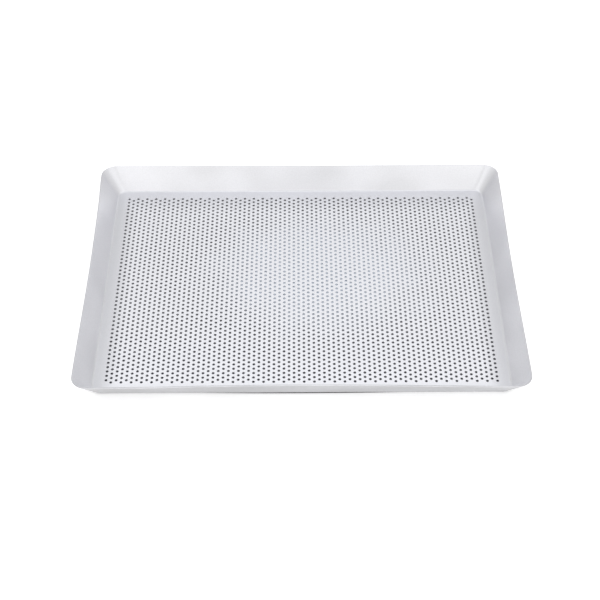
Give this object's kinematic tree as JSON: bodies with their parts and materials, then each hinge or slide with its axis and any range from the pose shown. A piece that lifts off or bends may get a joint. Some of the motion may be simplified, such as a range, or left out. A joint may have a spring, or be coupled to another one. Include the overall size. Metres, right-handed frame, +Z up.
{
  "type": "perforated baking tray",
  "caption": "Shallow rectangular baking tray pressed from one perforated aluminium sheet, with a flat staggered-hole base, plain sloping walls and rounded corners.",
  "frame": {"origin": "middle of the underside of the base, on the surface the tray stands on", "axes": "+X along the long side, +Y along the short side towards the back, +Z up towards the open mouth"},
  "size_m": [0.4, 0.3, 0.0236],
  "materials": {
    "aluminium_sheet": "satin, as pressed and punched"
  },
  "bodies": {
    "root": {"perforated_base": "aluminium_sheet", "left_wall": "aluminium_sheet", "right_wall": "aluminium_sheet", "front_wall": "aluminium_sheet", "back_wall": "aluminium_sheet", "front_left_corner": "aluminium_sheet", "front_right_corner": "aluminium_sheet", "back_left_corner": "aluminium_sheet", "back_right_corner": "aluminium_sheet"}
  },
  "joints": []
}
